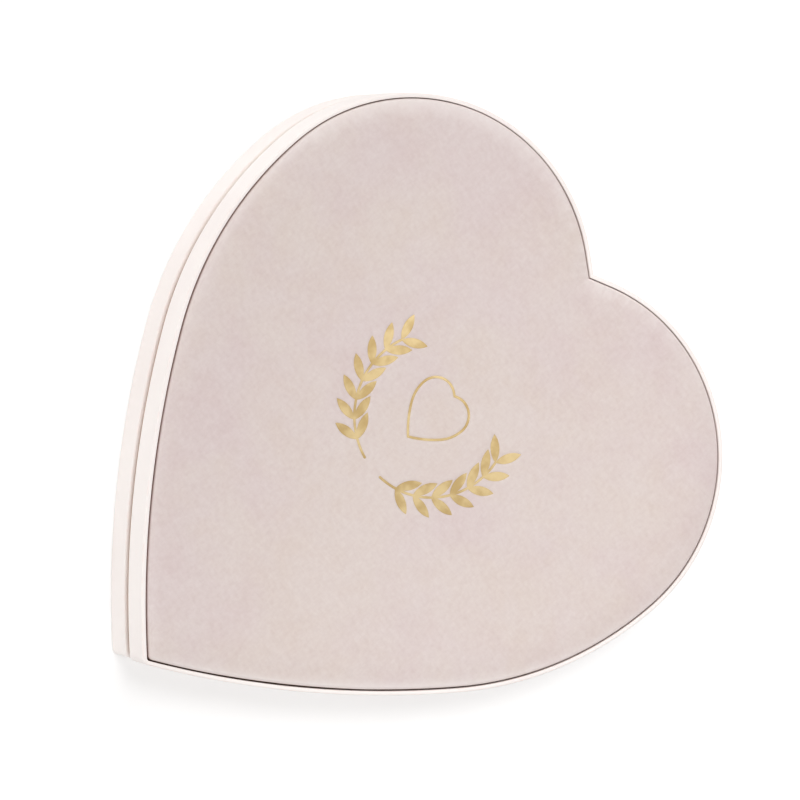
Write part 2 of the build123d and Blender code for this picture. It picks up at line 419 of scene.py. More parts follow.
def heartLine(inset, step, tipRound=0.0):
    # points and their outward directions, from notch to tip and back; as many for every inset
    lobe, haunch, side = (arcs[name] - inset for name in ("lobe", "haunch", "side"))
    lobeAt, sideAt, notchRound = arcs["lobeAt"], arcs["sideAt"], heartForm["notchRound"]
    tipRound = max(tipRound, heartForm["tipRound"] - inset, heartForm["leastTip"])
    browOut = pointing(arcs["brow"])
    browAt = lobeAt + browOut * lobe
    notchAt = Vector((0, browAt.y + (notchRound + browOut.x * browAt.x) / browOut.y))
    tipAt = Vector((0, sideAt.y - math.sqrt((side - tipRound) ** 2 - sideAt.x**2)))
    toTip = math.atan2(tipAt.y - sideAt.y, -sideAt.x)
    lobeCount, haunchCount, sideCount = (math.ceil(length / step) for length in arcs["lengths"])
    runs = [
        (heartForm["notchPoints"], notchAt, notchRound, -math.pi / 2, arcs["brow"] - math.pi, -1),
        (lobeCount, lobeAt, lobe, arcs["brow"], 0, 1),
        (haunchCount, arcs["haunchAt"], haunch, 0, -arcs["turn"], 1),
        (sideCount, sideAt, side, -arcs["turn"], toTip, 1),
        (heartForm["tipPoints"], tipAt, tipRound, toTip, -math.pi / 2, 1),
    ]
    right = []
    for count, centre, radius, start, end, outward in runs:
        for k in range(count):
            angle = start + (end - start) * k / count
            ray = pointing(angle)
            right.append((centre + ray * radius, ray * outward))
        if outward < 0:
            # straight brow between the notch and the lobe
            foot, points = notchAt - browOut * notchRound, heartForm["browPoints"]
            right += [(foot.lerp(browAt, k / points), browOut) for k in range(points)]
    right.append((tipAt - Vector((0, tipRound)), Vector((0, -1))))
    left = [(Vector((-p.x, p.y)), Vector((-n.x, n.y))) for p, n in reversed(right[1:-1])]
    return right + left


def edgeDepth(point):
    # distance inwards from the outside of the lid
    p = Vector((abs(point[0]), point[1]))
    fromLobe = p - arcs["lobeAt"]
    if fromLobe.y >= 0:
        if math.atan2(fromLobe.y, fromLobe.x) > arcs["brow"]:
            return arcs["lobe"] - fromLobe.dot(pointing(arcs["brow"]))
        return arcs["lobe"] - fromLobe.length
    fromHaunch = p - arcs["haunchAt"]
    if math.atan2(fromHaunch.y, fromHaunch.x) > -arcs["turn"]:
        return arcs["haunch"] - fromHaunch.length
    return arcs["side"] - (p - arcs["sideAt"]).length


# Mesh helpers

def addObject(name, mesh, material=None):
    piece = bpy.data.objects.new(name, mesh)
    scene.collection.objects.link(piece)
    if material:
        mesh.materials.clear()
        mesh.materials.append(material)
    return piece


def joinRings(bm, rings):
    for lower, upper in zip(rings, rings[1:]):
        for k in range(len(lower)):
            j = (k + 1) % len(lower)
            bm.faces.new((lower[k], lower[j], upper[j], upper[k]))


def meshOf(bm, name, weld=0.0):
    if weld:
        bmesh.ops.remove_doubles(bm, verts=bm.verts, dist=weld)
    bmesh.ops.recalc_face_normals(bm, faces=bm.faces)
    mesh = bpy.data.meshes.new(name)
    bm.to_mesh(mesh)
    bm.free()
    return mesh


def finishPiece(piece, body, stoodFor=()):
    piece.data.polygons.foreach_set("use_smooth", [True] * len(piece.data.polygons))
    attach(piece, body)
    if stoodFor:
        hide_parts(*stoodFor)
    return piece


def reportStage(stage, pieces):
    print(stage + ":", len(pieces), "pieces,", sum(len(piece.data.polygons) for piece in pieces), "faces")


def addTree(piece, group, values):
    # modifier inputs go by socket identifier, and are set before anything is evaluated
    modifier = piece.modifiers.new(group.name, "NODES")
    modifier.node_group = group
    for socket in group.interface.items_tree:
        if socket.item_type == "SOCKET" and socket.in_out == "INPUT" and socket.name in values:
            modifier[socket.identifier] = values[socket.name]


def positionParts(group):
    place = put(group, "GeometryNodeInputPosition")
    return put(group, "ShaderNodeSeparateXYZ", {"Vector": place["Position"]})


def endTree(group, result, shape, finish):
    real = put(group, "GeometryNodeRealizeInstances", {"Geometry": shape})
    dress = put(group, "GeometryNodeSetMaterial", {"Geometry": real["Geometry"], "Material": finish})
    wire(group, result, {0: dress["Geometry"]})
    return group


def settle(piece):
    # the result of a piece's modifiers becomes its plain mesh
    mesh = bpy.data.meshes.new_from_object(piece.evaluated_get(bpy.context.evaluated_depsgraph_get()))
    piece.modifiers.clear()
    piece.data = mesh


# Paper wraps round the lid's wall, the base's wall and the collar

lidWrapForm = {"rimOut": 0.5 * mm, "rimIn": 0.4 * mm, "hem": 0.25 * mm}
baseWrapForm = {"rimOut": 0.65 * mm, "rimIn": 0.15 * mm, "hem": 0.3 * mm}
collarForm = {"rimOut": 0.4 * mm, "rimIn": 0.4 * mm, "hem": 0.2 * mm}
wrapMesh = {"step": 1.5 * mm, "cornerSteps": 5, "rowHeight": 2.6 * mm, "support": 1.5}


def roundedLoop(corners, form):
    # closed profile through axis-aligned corners (depth, level, radius), as (depth, level, edge)
    # a supporting row stands beside each corner, and long runs have more rows
    loop = []
    steps = form["cornerSteps"]
    for k, (depth, level, radius) in enumerate(corners):
        here = Vector((depth, level))
        reach = Vector(corners[(k + 1) % len(corners)][:2]) - here
        toLast = (Vector(corners[k - 1][:2]) - here).normalized()
        toNext = reach.normalized()
        centre = here + (toLast + toNext) * radius
        loop.append((*(here + toLast * radius * form["support"]), 0.0))
        for step in range(steps + 1):
            turn = math.pi / 2 * step / steps
            spot = centre - toNext * radius * math.cos(turn) - toLast * radius * math.sin(turn)
            loop.append((spot.x, spot.y, math.sin(math.pi * step / steps)))
        loop.append((*(here + toNext * radius * form["support"]), 0.0))
        count = int(reach.length / form["rowHeight"])
        loop += [(*(here + reach * (j + 1) / (count + 1)), 0.0) for j in range(count)]
    return loop


def makeWrap(name, node, form, innerNode, body, slot):
    # closed profile carried round the heart, every row on its own parallel outline
    low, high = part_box(node)
    inset = insetOf(node)
    thick = insetOf(innerNode) - inset
    corners = [
        (0, low.z, form["hem"]),
        (0, high.z, form["rimOut"]),
        (thick, high.z, form["rimIn"]),
        (thick, low.z, form["hem"]),
    ]
    bm = bmesh.new()
    edge = bm.verts.layers.float.new("edge")
    rows = []
    for depth, level, rimWearAndShade in roundedLoop(corners, wrapMesh):
        row = [bm.verts.new((*p, level)) for p, out in heartLine(inset + depth, wrapMesh["step"])]
        for vert in row:
            vert[edge] = rimWearAndShade
        rows.append(row)
    joinRings(bm, rows + rows[:1])
    return finishPiece(addObject(name, meshOf(bm, name), finishes[slot]), body, [node])


wraps = [
    makeWrap("lidWrap", "lid_wall_wrap", lidWrapForm, "lid_ceiling_lining", "lid", "wrap"),
    makeWrap("baseWrap", "base_wall_wrap", baseWrapForm, "collar_wrap", "base", "wrap"),
    makeWrap("collarWrap", "collar_wrap", collarForm, "base_floor_lining", "base", "collar_paper"),
]
reportStage("wraps", wraps)


# Puffed skins: a flat sheet held along lines and blown up by cloth simulation, read back as heights

skinForm = {
    "quality": 6,
    "smoothing": 2,
    "edgeGap": 0.6,  # of a grid's spacing, how far its points keep from the rolled edge
    "nearest": 0.001 * mm,
    "weld": 0.002 * mm,
}


def triangulated(ring, inner):
    edges = [(k, (k + 1) % len(ring)) for k in range(len(ring))]
    points, _, faces, _, _, _ = geometry.delaunay_2d_cdt(ring + inner, edges, [], 1, skinForm["nearest"])
    return points, faces


def gridPoints(low, high, spacing, turn=0.0):
    # staggered points, or square ones on turned axes
    points = []
    middle = (low + high) / 2
    count = math.ceil((high - low).length / 2 / spacing)
    cosine, sine = math.cos(turn), math.sin(turn)
    for row in range(-count, count + 1):
        for column in range(-count, count + 1):
            if turn:
                spot = Vector((column * cosine - row * sine, column * sine + row * cosine))
            else:
                spot = Vector((column + row % 2 / 2, row * math.sqrt(0.75)))
            spot = middle + spot * spacing
            if low.x <= spot.x <= high.x and low.y <= spot.y <= high.y:
                points.append(spot)
    return points


def innerPoints(node, depth, spacing, turn=0.0, gap=skinForm["edgeGap"]):
    # grid over a node's box, kept where it lies deeper than the outline's rolled edge and a gap
    low, high = (corner.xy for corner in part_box(node))
    least = depth + gap * spacing
    return [p for p in gridPoints(low, high, spacing, turn) if edgeDepth(p) > least]


def addSheet(name, points, heights, faces):
    mesh = bpy.data.meshes.new(name)
    mesh.from_pydata([(*p, h) for p, h in zip(points, heights)], [], faces)
    return addObject(name, mesh)


def puffedHeights(name, points, faces, held, values):
    skin = addSheet(name, points, [0.0] * len(points), faces)
    skin.vertex_groups.new(name="held").add(held, 1.0, "REPLACE")
    cloth = skin.modifiers.new("puff", "CLOTH")
    settings = cloth.settings
    settings.quality = skinForm["quality"]
    settings.mass = values["mass"]
    settings.tension_stiffness = settings.compression_stiffness = values["tension"]
    settings.bending_stiffness = values["bending"]
    settings.use_pressure = True
    settings.uniform_pressure_force = values["pressure"]
    settings.vertex_group_mass = "held"
    settings.effector_weights.gravity = 0.0
    cloth.collision_settings.use_collision = False
    cloth.point_cache.frame_start, cloth.point_cache.frame_end = 1, values["frames"]
    for step in range(1, values["frames"] + 1):
        scene.frame_set(step)
    blown = skin.evaluated_get(bpy.context.evaluated_depsgraph_get()).data
    heights = [v.co.z for v in blown.vertices]
    scene.frame_set(1)
    bpy.data.objects.remove(skin)
    print(name + ": blown up to", round(max(heights) / mm, 2), "mm")
    return heights


def heightReader(points, faces, heights, cap):
    # soft limit on how far a point may move, then a smooth surface to read heights from
    capped = [cap * (1 - math.exp(-max(h, 0.0) / cap)) for h in heights]
    carrier = addSheet("heights", points, capped, faces)
    smooth = carrier.modifiers.new("smooth", "SUBSURF")
    smooth.levels = smooth.render_levels = skinForm["smoothing"]
    tree = BVHTree.FromObject(carrier, bpy.context.evaluated_depsgraph_get())
    bpy.data.objects.remove(carrier)

    def read(point):
        hit = tree.ray_cast((*point, 1.0), (0, 0, -1))[0]
        if hit is None:
            hit = tree.find_nearest((*point, 0.0))[0]
        return hit.z

    return read


def rollRows(form, level, side, lastTurn):
    # depth and level of the rows of a rolled edge, up (-1) or down (1) to the level of its skin
    rows = []
    for step in range(form["rollSteps"] + 1):
        turn = lastTurn * step / form["rollSteps"]
        rows.append((form["roll"] * (1 - math.cos(turn)), level + side * form["roll"] * (1 - math.sin(turn))))
    return rows


def addRolledEdge(bm, line, rows):
    rings = [[bm.verts.new((*(p - n * depth), level)) for p, n in line] for depth, level in rows]
    joinRings(bm, rings)
    bm.faces.new(rings[0])
    return rings


def addSkin(bm, ring, inner, level, readHeight):
    # puffed sheet whose rim lies on the ring at the given level; a negative height hangs down
    points, faces = triangulated(ring, inner)
    verts = [bm.verts.new((*p, level + readHeight(p))) for p in points]
    for vert in verts[:len(ring)]:
        vert.co.z = level
    for face in faces:
        bm.faces.new([verts[k] for k in face])
    return points, verts


# Padded suede panel in the lid, with the stamp pressed into it

panelLow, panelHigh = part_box("lid_panel_cover")
foilLow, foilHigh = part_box("gold_stamp")
panelForm = {
    "roll": 1.2 * mm,
    "rollTurn": math.radians(79),  # where the roll meets the crown
    "rollSteps": 7,
    "crown": 0.8 * mm,
    "underlap": 3.0 * mm,  # cloth turned in under the panel
    "hem": 0.3 * mm,
    "firstRow": 1.0 * mm,
    "darkAt": 0.5,  # share of the roll above which no seam shade is painted
    "darkReach": 1.0 * mm,
    "paintedLightReach": 3.5 * mm,
    "paintedLightAxis": (-0.770, 0.638),  # painted light is strongest on the margins facing along this axis
    "paintedLightLeast": 0.1,
    "tip": 1.6 * mm,
    "wander": 0.08 * mm,  # how far the glued edge strays
    "wanderScale": 45,
    "swell": 0.12 * mm,
    "shift": (0.0, 0.14 * mm),  # glued a little off centre
    "step": 1.5 * mm,
    "marginRows": (0.6 * mm, 1.4 * mm, 2.6 * mm),
    "marginStray": 0.15 * mm,
    "gridSpacing": 2.2 * mm,
    "stampSpacing": 0.42 * mm,
    "stampMargin": 1.6 * mm,
    "pressFlat": 0.08 * mm,
    "pressReach": 0.5 * mm,
    "skinSpacing": 3.0 * mm,
    "skin": {"mass": 0.2, "tension": 15.0, "bending": 0.5, "pressure": 190.0, "frames": 20},
    "quickSlope": 0.25,
}
panelInset = insetOf("lid_panel_cover")
rollIn = panelForm["roll"] * (1 - math.cos(panelForm["rollTurn"]))
rollDepth = panelInset + rollIn


def panelEdge(form):
    strayed = []
    for point, out in heartLine(panelInset, form["step"], form["tip"]):
        stray = noise.noise(Vector((point.x, point.y, 0.3)) * form["wanderScale"]) * form["wander"]
        strayed.append((point + out * (form["swell"] + stray) + Vector(form["shift"]), out))
    return strayed


def panelTopHeights(ring, form):
    # skin from the end of the edge roll inwards, held all round
    inner = innerPoints("lid_wall_wrap", rollDepth, form["skinSpacing"])
    points, faces = triangulated(ring, inner)
    heights = puffedHeights("panelSkin", points, faces, list(range(len(ring))), form["skin"])
    return heightReader(points, faces, heights, form["crown"])


def panelRows(form):
    # from under the panel up to the end of the roll
    seat, hem = panelLow.z, form["hem"]
    rows = [(form["underlap"], seat), (hem, seat), (0.0, seat + hem), (0.0, seat + hem + form["firstRow"])]
    return rows + rollRows(form, panelHigh.z - form["crown"], -1, form["rollTurn"])


def panelPoints(line, form):
    # rows along the margin, an open grid, and a fine one under the stamp
    inner = []
    for further in form["marginRows"]:
        spots = [p - n * (rollIn + further) for p, n in line]
        inner += [s for s in spots if abs(edgeDepth(s) - rollDepth - further) < form["marginStray"]]
    margin = Vector((form["stampMargin"], form["stampMargin"]))
    low, high = foilLow.xy - margin, foilHigh.xy + margin
    gridDepth = rollDepth + form["marginRows"][-1]
    for p in innerPoints("lid_wall_wrap", gridDepth, form["gridSpacing"]):
        if not (low.x < p.x < high.x and low.y < p.y < high.y):
            inner.append(p)
    return inner + gridPoints(low, high, form["stampSpacing"])


def rubShare(outward, form):
    # how much painted light a margin facing this way gets
    along = outward.x * form["paintedLightAxis"][0] + outward.y * form["paintedLightAxis"][1]
    return form["paintedLightLeast"] + (1 - form["paintedLightLeast"]) * along**2


def makePanelMesh(form):
    line = panelEdge(form)
    ring = [p - n * rollIn for p, n in line]
    readHeight = panelTopHeights(ring, form)
    rows = panelRows(form)
    # painted seam shade starts below this level
    seamShadeStart = panelHigh.z - form["crown"] - form["darkAt"] * form["roll"]
    bm = bmesh.new()
    edge, rubAndPaintedLight = (bm.verts.layers.float.new(name) for name in ("edge", "rubAndPaintedLight"))
    for (depth, level), verts in zip(rows, addRolledEdge(bm, line, rows)):
        for (p, n), vert in zip(line, verts):
            # painted shade down the seam
            vert[edge] = clamped((seamShadeStart - level) / form["darkReach"])
            # painted light along the margin
            vert[rubAndPaintedLight] = rubShare(n, form)
    crownFoot = rows[-1][1]
    for p, vert in zip(*addSkin(bm, ring, panelPoints(line, form), crownFoot, readHeight)):
        # painted light on the skin too, fading inwards from the margin
        near = 1 - clamped((edgeDepth(p) - rollDepth) / form["paintedLightReach"])
        vert[rubAndPaintedLight] = near**2 * rubShare(p.normalized(), form)
    return meshOf(bm, "suedePanel", skinForm["weld"])


def makeStampPress(form):
    # lowers a surface to a bed under the foil, with a soft edge round it
    inputs = {"Surface": "Geometry", "Foil": "Object", "Finish": "Material"}
    inputs |= {"Foil Level": 0.0, "Depth": 0.0, "Reach": 0.0}
    group, given, result = newGroup("stampPress", "GeometryNodeTree", inputs, {"Surface": "Geometry"})
    foil = put(group, "GeometryNodeObjectInfo", {"Object": given["Foil"]})
    split = positionParts(group)
    onFoil = combine(group, split["X"], split["Y"], given["Foil Level"])
    sample = {"Geometry": foil["Geometry"], "Sample Position": onFoil}
    near = put(group, "GeometryNodeProximity", sample, target_element="FACES")["Distance"]
    onTop = sumUp(group, "GREATER_THAN", split["Z"], given["Foil Level"])
    fade = spread(group, near, form["pressFlat"], given["Reach"], (given["Depth"], 0.0), "SMOOTHSTEP")
    down = combine(group, z=times(group, times(group, fade, onTop), -1.0))
    move = put(group, "GeometryNodeSetPosition", {"Geometry": given["Surface"], "Offset": down})
    return endTree(group, result, move["Geometry"], given["Finish"])


suedePanel = addObject("suedePanel", makePanelMesh(panelForm), finishes["suede"])
pressValues = {
    "Foil": cadNodes["gold_stamp"],
    "Foil Level": foilLow.z,
    "Depth": panelHigh.z - foilLow.z,
    "Reach": panelForm["pressReach"],
    "Finish": finishes["suede"],
}
addTree(suedePanel, makeStampPress(panelForm), pressValues)
settle(suedePanel)
finishPiece(suedePanel, "lid", ["lid_panel_cover", "lid_panel_foam"])
reportStage("padded panel", [suedePanel])


# Quilted cushion under the lid's ceiling

padLow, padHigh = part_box("candy_pad")
cushionForm = {
    "roll": 1.0 * mm,
    "rollSteps": 5,
    "quilt": 2.2 * mm,  # how deep the quilted lines lie under the puffed cells
    "cell": 24.0 * mm,
    "rowsInCell": 10,
    "turn": math.radians(45),
    "tip": 3.0 * mm,
    "step": 2.0 * mm,
    "lineShare": 0.2,  # of the spacing, how near a held point lies to a quilted line
    "fineGap": 1.0,
    "skin": {"mass": 0.1, "tension": 1.0, "bending": 0.02, "pressure": 1500.0, "frames": 24},
    "quickSlope": 0.3,
}


def makeCushionMesh(form):
    inset = insetOf("candy_pad")
    startDepth = inset + form["roll"]
    line = heartLine(inset, form["step"], form["tip"])
    ring = [p - n * form["roll"] for p, n in line]
    spacing, turn = form["cell"] / form["rowsInCell"], form["turn"]
    inner = innerPoints("candy_pad", startDepth, spacing, turn)
    points, faces = triangulated(ring, inner)
    middle = (padLow.xy + padHigh.xy) / 2
    axes = [pointing(turn), pointing(turn + math.pi / 2)]

    def lineDistance(p):
        # distance from the nearest quilted line
        across = [(p - middle).dot(axis) for axis in axes]
        return min(abs(a - form["cell"] * round(a / form["cell"])) for a in across)

    rim = range(len(ring))
    nearLine = form["lineShare"] * spacing
    held = [k for k, p in enumerate(points) if k in rim or lineDistance(p) < nearLine]
    heights = puffedHeights("cushionSkin", points, faces, held, form["skin"])
    readHeight = heightReader(points, faces, heights, form["quilt"])
    level = padLow.z + form["quilt"]
    finer = innerPoints("candy_pad", startDepth, spacing / 2, turn, form["fineGap"])
    bm = bmesh.new()
    addRolledEdge(bm, line, [(0.0, padHigh.z)] + rollRows(form, level, 1, math.pi / 2))
    addSkin(bm, ring, finer, level, lambda p: -readHeight(p))
    return meshOf(bm, "candyCushion", skinForm["weld"])


candyCushion = addObject("candyCushion", makeCushionMesh(cushionForm), finishes["pad"])
finishPiece(candyCushion, "lid", ["candy_pad"])
reportStage("cushion", [candyCushion])


# Paper cups: one tree rolls a flat grid into a fluted cup

cupForm = {
    "sizes": {"Flutes": 40.0, "Flute Depth": 1.5 * mm, "Crinkle": 0.4 * mm},
    "flare": 2.8 * mm,
    "crinkleNoise": {"Scale": 3.5, "Detail": 2.0},
    "paper": 0.14 * mm,
    "stepsRound": 200,
    "stepsUp": 12,
    "floorShare": 0.3,  # part of the grid that lies on the floor
    "wornFrom": 0.86,  # part of the wall's height under the rubbed rim
    "weld": 0.01 * mm,
    "turnStep": 0.37,
    "seedStep": 1.3,
}


def makeFlutedCup(form):
    numbers = dict.fromkeys(("Turn", "Seed", "Base Radius", "Top Radius", "Height"), 0.0)
    inputs = {"Centre": "Vector", "Finish": "Material", **numbers, **form["sizes"]}
    group, given, result = newGroup("flutedCup", "GeometryNodeTree", inputs, {"Cup": "Geometry"})
    counts = {"Vertices X": form["stepsRound"] + 1, "Vertices Y": form["stepsUp"] + 1}
    grid = put(group, "GeometryNodeMeshGrid", counts)
    split = positionParts(group)
    around, along = (sumUp(group, "ADD", split[axis], 0.5) for axis in ("X", "Y"))
    turns = times(group, around, 2 * math.pi)
    flat = spread(group, along, 0.0, form["floorShare"])
    up = spread(group, along, form["floorShare"], 1.0)
    angle = sumUp(group, "ADD", turns, given["Turn"])
    cosine, sine = (sumUp(group, name, angle) for name in ("COSINE", "SINE"))
    # noise read on a ring, so that it closes on itself
    creases = cloud(group, combine(group, cosine, sine, along), form["crinkleNoise"], given["Seed"])
    stray = times(group, creases, given["Crinkle"])
    wave = sumUp(group, "COSINE", times(group, turns, given["Flutes"]))
    pleat = times(group, sumUp(group, "MULTIPLY_ADD", wave, -0.5, 0.5), given["Flute Depth"])
    inward = times(group, sumUp(group, "ADD", pleat, stray), up)
    flare = sumUp(group, "SUBTRACT", given["Top Radius"], given["Base Radius"])
    cone = sumUp(group, "ADD", times(group, flat, given["Base Radius"]), times(group, up, flare))
    radius = sumUp(group, "SUBTRACT", cone, inward)
    lift = times(group, up, sumUp(group, "SUBTRACT", given["Height"], stray))
    rolled = combine(group, times(group, cosine, radius), times(group, sine, radius), lift)
    spot = vectorSum(group, "ADD", rolled, given["Centre"])
    rim = spread(group, up, form["wornFrom"], 1.0, way="SMOOTHSTEP")
    named = {"Geometry": grid["Mesh"], "Name": "edge", "Value": rim}
    wornAndShaded = put(group, "GeometryNodeStoreNamedAttribute", named, data_type="FLOAT", domain="POINT")
    move = put(group, "GeometryNodeSetPosition", {"Geometry": wornAndShaded["Geometry"], "Position": spot})
    merge = {"Geometry": move["Geometry"], "Distance": form["weld"]}
    close = put(group, "GeometryNodeMergeByDistance", merge)
    return endTree(group, result, close["Geometry"], given["Finish"])


def makeCup(number, tree, form):
    node = "cup_" + str(number)
    low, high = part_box(node)
    middle, radius = (low + high) / 2, (high.x - low.x) / 2
    cup = addObject("flutedCup_" + str(number), bpy.data.meshes.new(node))
    values = {
        "Centre": (middle.x, middle.y, low.z),
        "Base Radius": radius - form["flare"],
        "Top Radius": radius,
        "Height": high.z - low.z,
        "Turn": form["turnStep"] * number,
        "Seed": form["seedStep"] * number,
        "Finish": finishes["cup_paper"],
    }
    addTree(cup, tree, values)
    paper = cup.modifiers.new("paper", "SOLIDIFY")
    paper.thickness, paper.offset = form["paper"], -1.0
    settle(cup)
    return finishPiece(cup, "base", [node])


cupTree = makeFlutedCup(cupForm)
cupCount = sum(node.startswith("cup_") for node in cadNodes)
reportStage("paper cups", [makeCup(number, cupTree, cupForm) for number in range(1, cupCount + 1)])


# Chocolates: an outline carried up the side and over the top of its mould

chocolateForm = {
    "bevel": 2.2 * mm,
    "bevelSteps": 6,
    "foot": 0.5 * mm,
    "footShare": 0.95,
    "sideRows": 4,
    "cap": 0.7,  # height of the domes' caps against their radius
    "capTurn": 0.985,  # part of the way to the top where the last ring lies
    "powers": {"dome": 2.0, "oval": 2.0, "square": 7.0},  # of the outlines, 2 for an ellipse
    "topRows": 16,
    "topReach": 0.97,
    "points": 120,
    "heartStep": 5 * mm,
    "spiral": {"flutes": 9, "twist": 0.16 / mm, "depth": 0.07, "from": 2 * mm, "fade": 5 * mm, "eye": 0.4},
    "comb": {"pitch": 2.6 * mm, "depth": 0.45 * mm, "lean": math.radians(20), "edge": 0.78, "fade": 0.08},
    "field": {"depth": 0.7 * mm, "edge": 0.86, "fade": 0.1},  # the hearts' sunk inner field
    "dish": 0.2 * mm,
}


def bentOutline(low, high, power, form):
    # an ellipse, or a rounded square at higher powers
    points = []
    for k in range(form["points"]):
        turn = 2 * math.pi * k / form["points"]
        x, y = math.cos(turn), math.sin(turn)
        reach = (abs(x) ** power + abs(y) ** power) ** (-1 / power) / 2
        points.append(Vector(((high.x - low.x) * x * reach, (high.y - low.y) * y * reach)))
    return points


def bevelledRows(radius, height, form, topDepth):
    # foot, side, softened bevel, then rings over the top to the middle
    bevelShare, steps = form["bevel"] / radius, form["bevelSteps"]
    rows = [(form["footShare"], 0.0), (1.0, form["foot"]), (1.0, height / 3), (1.0, height * 2 / 3)]
    for k in range(steps + 1):
        turn = math.pi / 2 * k / steps
        inwards, upwards = (1 - math.cos(turn) + k / steps) / 2, (math.sin(turn) + k / steps) / 2
        rows.append((1 - bevelShare * inwards, height - form["bevel"] * (1 - upwards)))
    for k in range(1, form["topRows"] + 1):
        share = 1 - form["topReach"] * k / form["topRows"]
        rows.append(((1 - bevelShare) * share, height - topDepth(share)))
    return rows


def domeRows(radius, height, form):
    cap = radius * form["cap"]
    ball = (radius**2 + cap**2) / (2 * cap)
    rows = [(form["footShare"], 0.0), (1.0, form["foot"])]
    rows += [(1.0, (height - cap) * k / form["sideRows"]) for k in range(1, form["sideRows"])]
    start = math.asin((ball - cap) / ball)
    for k in range(form["topRows"] + 1):
        turn = start + (math.pi / 2 - start) * form["capTurn"] * k / form["topRows"]
        rows.append((ball * math.cos(turn) / radius, height - ball * (1 - math.sin(turn))))
    return rows


def spiralled(x, y, z, share):
    form = chocolateForm["spiral"]
    groove = 0.5 - 0.5 * math.cos(math.atan2(y, x) * form["flutes"] + z * form["twist"] * form["flutes"])
    fade = clamped((z - form["from"]) / form["fade"]) * clamped(share / form["eye"])
    keep = 1 - form["depth"] * groove * fade
    return x * keep, y * keep, z


def combed(x, y, z, share):
    form = chocolateForm["comb"]
    across = (x * math.cos(form["lean"]) + y * math.sin(form["lean"])) / form["pitch"]
    fade = clamped((form["edge"] - share) / form["fade"])
    return x, y, z - form["depth"] * fade * (0.5 - 0.5 * math.cos(2 * math.pi * across))


def plain(x, y, z, share):
    return x, y, z


def mouldOf(kind, low, high, form):
    # outline, rows and the way its points are bent
    radius, height = (high.x - low.x) / 2, high.z - low.z
    field = form["field"]
    topDepths = {
        "oval": lambda share: 0.0,
        "square": lambda share: form["dish"] * (1 - share**2),
        "heart": lambda share: field["depth"] * clamped((field["edge"] - share) / field["fade"]),
    }
    if kind == "heart":
        outline = [p * (high.x - low.x) / heartForm["width"] for p, _ in heartLine(0.0, form["heartStep"])]
    else:
        outline = bentOutline(low, high, form["powers"][kind], form)
    if kind == "dome":
        rows = domeRows(radius, height, form)
    else:
        rows = bevelledRows(radius, height, form, topDepths[kind])
    return outline, rows, {"dome": spiralled, "oval": combed}.get(kind, plain)


def makeChocolatePiece(node, form):
    low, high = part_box(node)
    middle = (low + high) / 2
    outline, rows, bend = mouldOf(node.split("_")[-1], low, high, form)
    bm = bmesh.new()
    rings = []
    for share, level in rows:
        spots = [bend(p.x * share, p.y * share, level, share) for p in outline]
        rings.append([bm.verts.new((middle.x + x, middle.y + y, low.z + z)) for x, y, z in spots])
    joinRings(bm, rings)
    bm.faces.new(rings[0])
    bm.faces.new(rings[-1])
    piece = addObject("moulded_" + node.split("_", 1)[1], meshOf(bm, node), finishes[slotOf[node]])
    return finishPiece(piece, "base", [node])


chocolateNodes = [node for node in cadNodes if node.startswith("chocolate_")]
chocolates = {node: makeChocolatePiece(node, chocolateForm) for node in chocolateNodes}
reportStage("chocolates", chocolates.values())


# Drizzle on the square chocolates: a zigzag dropped onto whatever lies under it

drizzleForm = {
    "sizes": {
        "Length": 13.0 * mm, "Width": 12.0 * mm, "Bends": 4.5, "Thread": 0.34 * mm, "Sink": 0.12 * mm,
    },
    "points": 110,
    "sides": 8,
    "dropFrom": 5 * mm,
    "dropReach": 20 * mm,
    "turn": 35,
    "turnStep": 11,
}


def makeZigzag(form):
    inputs = {"Target": "Object", "Centre": "Vector", "Finish": "Material", "Turn": 0.0, **form["sizes"]}
    group, given, result = newGroup("zigzagDrizzle", "GeometryNodeTree", inputs, {"Thread": "Geometry"})
    line = put(group, "GeometryNodeCurvePrimitiveLine")
    dense = put(group, "GeometryNodeResampleCurve", {"Curve": line["Curve"], "Count": form["points"]})
    far = put(group, "GeometryNodeSplineParameter")["Factor"]
    along = sumUp(group, "SUBTRACT", far, 0.5)
    angle = times(group, times(group, along, given["Bends"]), 2 * math.pi)
    across = times(group, times(group, sumUp(group, "SINE", angle), 0.5), given["Width"])
    flat = combine(group, times(group, along, given["Length"]), across)
    spin = {"Vector": flat, "Angle": given["Turn"]}
    turned = put(group, "ShaderNodeVectorRotate", spin, rotation_type="Z_AXIS")["Vector"]
    target = put(group, "GeometryNodeObjectInfo", {"Object": given["Target"]})
    above = vectorSum(group, "ADD", turned, given["Centre"])
    ray = {"Target Geometry": target["Geometry"], "Source Position": above}
    ray |= {"Ray Direction": (0.0, 0.0, -1.0), "Ray Length": form["dropReach"]}
    hit = put(group, "GeometryNodeRaycast", ray)["Hit Position"]
    seat = vectorSum(group, "SUBTRACT", hit, combine(group, z=given["Sink"]))
    move = put(group, "GeometryNodeSetPosition", {"Geometry": dense["Curve"], "Position": seat})
    section = {"Radius": given["Thread"], "Resolution": form["sides"]}
    circle = put(group, "GeometryNodeCurvePrimitiveCircle", section)
    sweep = {"Curve": move["Geometry"], "Profile Curve": circle["Curve"], "Fill Caps": True}
    thread = put(group, "GeometryNodeCurveToMesh", sweep)
    return endTree(group, result, thread["Mesh"], given["Finish"])


